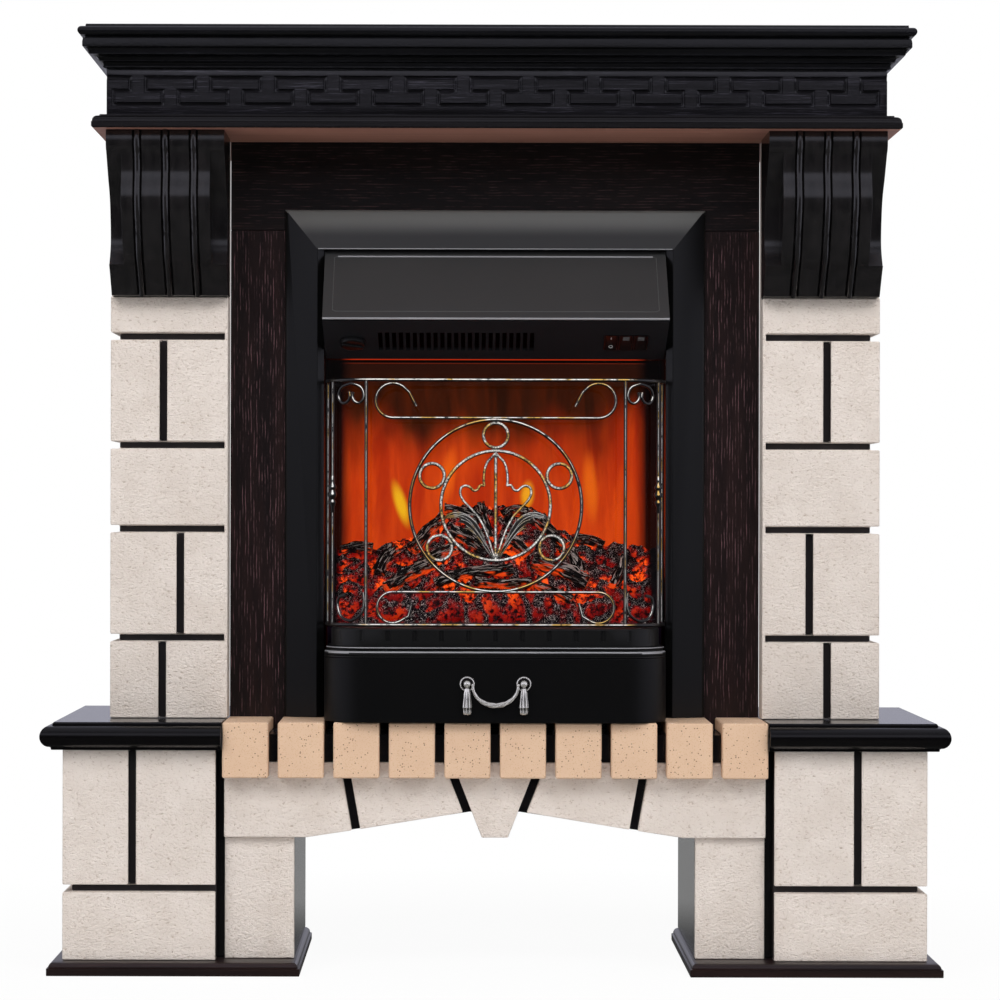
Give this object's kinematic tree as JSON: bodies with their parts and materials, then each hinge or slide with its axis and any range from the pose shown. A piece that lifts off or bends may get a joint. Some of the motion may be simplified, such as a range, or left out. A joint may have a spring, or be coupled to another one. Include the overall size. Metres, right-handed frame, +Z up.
{
  "type": "electric fireplace suite",
  "caption": "Stone-effect fireplace surround with a black mantel and brick hearth edge, holding an inset electric fire with guard, ash drawer and fan heater.",
  "frame": {"origin": "on the floor, under the centre of the bounding box", "axes": "+X to the right seen from the front, -Y to the front, +Y to the wall, +Z up"},
  "size_m": [1.048, 0.373, 1.0915],
  "materials": {
    "dark_wood": "satin near-black wood grain",
    "cast_stone": "pale cast stone, fine open pores",
    "terrazzo_brick": "beige speckled stone, honed",
    "black_steel": "satin black",
    "antique_brass": "antiqued, dark in the hollows",
    "pewter": "aged pewter",
    "smoked_glass": "clear, slightly smoked",
    "ember_bed": "moulded coals, lit red from below",
    "charred_log": "moulded charred bark",
    "flame_screen": "translucent, lit orange",
    "plated_steel": "bright plated",
    "black_plastic": "fine satin"
  },
  "bodies": {
    "suite": {"apron_left": "cast_stone", "apron_right": "cast_stone", "arch_board": "dark_wood", "control_panel": "black_steel", "corbel_left": "dark_wood", "corbel_right": "dark_wood", "ember_bed": "ember_bed", "fascia_rail": "dark_wood", "fascia_stile_left": "dark_wood", "fascia_stile_right": "dark_wood", "fender": "black_steel", "fire_guard": "antique_brass", "flame_screen": "flame_screen", "frieze_box": "dark_wood", "hearth_board": "dark_wood", "hearth_brick_1": "terrazzo_brick", "hearth_brick_10": "terrazzo_brick", "hearth_brick_2": "terrazzo_brick", "hearth_brick_3": "terrazzo_brick", "hearth_brick_4": "terrazzo_brick", "hearth_brick_5": "terrazzo_brick", "hearth_brick_6": "terrazzo_brick", "hearth_brick_7": "terrazzo_brick", "hearth_brick_8": "terrazzo_brick", "hearth_brick_9": "terrazzo_brick", "hearth_shelf_left": "dark_wood", "hearth_shelf_right": "dark_wood", "heater_unit": "plated_steel", "hood": "black_steel", "insert_case": "black_steel", "insert_frame": "black_steel", "keystone": "cast_stone", "lamp_bar": "black_plastic", "leg_case_left": "dark_wood", "leg_case_right": "dark_wood", "leg_stone_left": "cast_stone", "leg_stone_right": "cast_stone", "log_set": "charred_log", "mantel_ledge": "dark_wood", "mantel_top": "dark_wood", "pedestal_stone_left": "cast_stone", "pedestal_stone_right": "cast_stone", "pilaster_left": "cast_stone", "pilaster_right": "cast_stone", "plinth_left": "dark_wood", "plinth_right": "dark_wood", "spindle_motor": "plated_steel", "voussoir_left": "cast_stone", "voussoir_right": "cast_stone", "window_glass": "smoked_glass"},
    "drawer": {"ash_drawer": "black_steel", "handle_rosette_left": "pewter", "handle_rosette_right": "pewter"},
    "bail": {"handle_bail": "pewter"},
    "knob": {"thermostat_knob": "black_plastic"},
    "main_switch": {"rocker_main": "black_plastic"},
    "low_heat_switch": {"rocker_heat_low": "black_plastic"},
    "high_heat_switch": {"rocker_heat_high": "black_plastic"},
    "spindle": {"flame_spindle": "plated_steel"},
    "rotor": {"blower_rotor": "black_plastic"}
  },
  "joints": [
    {"name": "drawer_slide", "type": "slide", "parent": "suite", "child": "drawer", "axis": [0, -1, 0], "range_m": [0, 0.06]},
    {"name": "bail_swing", "type": "hinge", "parent": "drawer", "child": "bail", "pos_m": [0, -0.158, 0.3375], "axis": [-1, 0, 0], "range_deg": [0, 80]},
    {"name": "thermostat_turn", "type": "hinge", "parent": "suite", "child": "knob", "pos_m": [-0.168, -0.06108, 0.73543], "axis": [0, -0.3934, -0.9194], "range_deg": [0, 270]},
    {"name": "main_rock", "type": "hinge", "parent": "suite", "child": "main_switch", "pos_m": [0.136, -0.06029, 0.73727], "axis": [1, 0, 0], "range_deg": [0, 16]},
    {"name": "low_heat_rock", "type": "hinge", "parent": "suite", "child": "low_heat_switch", "pos_m": [0.1535, -0.06029, 0.73727], "axis": [1, 0, 0], "range_deg": [0, 16]},
    {"name": "high_heat_rock", "type": "hinge", "parent": "suite", "child": "high_heat_switch", "pos_m": [0.171, -0.06029, 0.73727], "axis": [1, 0, 0], "range_deg": [0, 16]},
    {"name": "spindle_turn", "type": "hinge", "parent": "suite", "child": "spindle", "pos_m": [0, 0.106, 0.45], "axis": [1, 0, 0], "continuous": true},
    {"name": "rotor_turn", "type": "hinge", "parent": "suite", "child": "rotor", "pos_m": [-0.046, 0.036, 0.817], "axis": [1, 0, 0], "continuous": true}
  ]
}
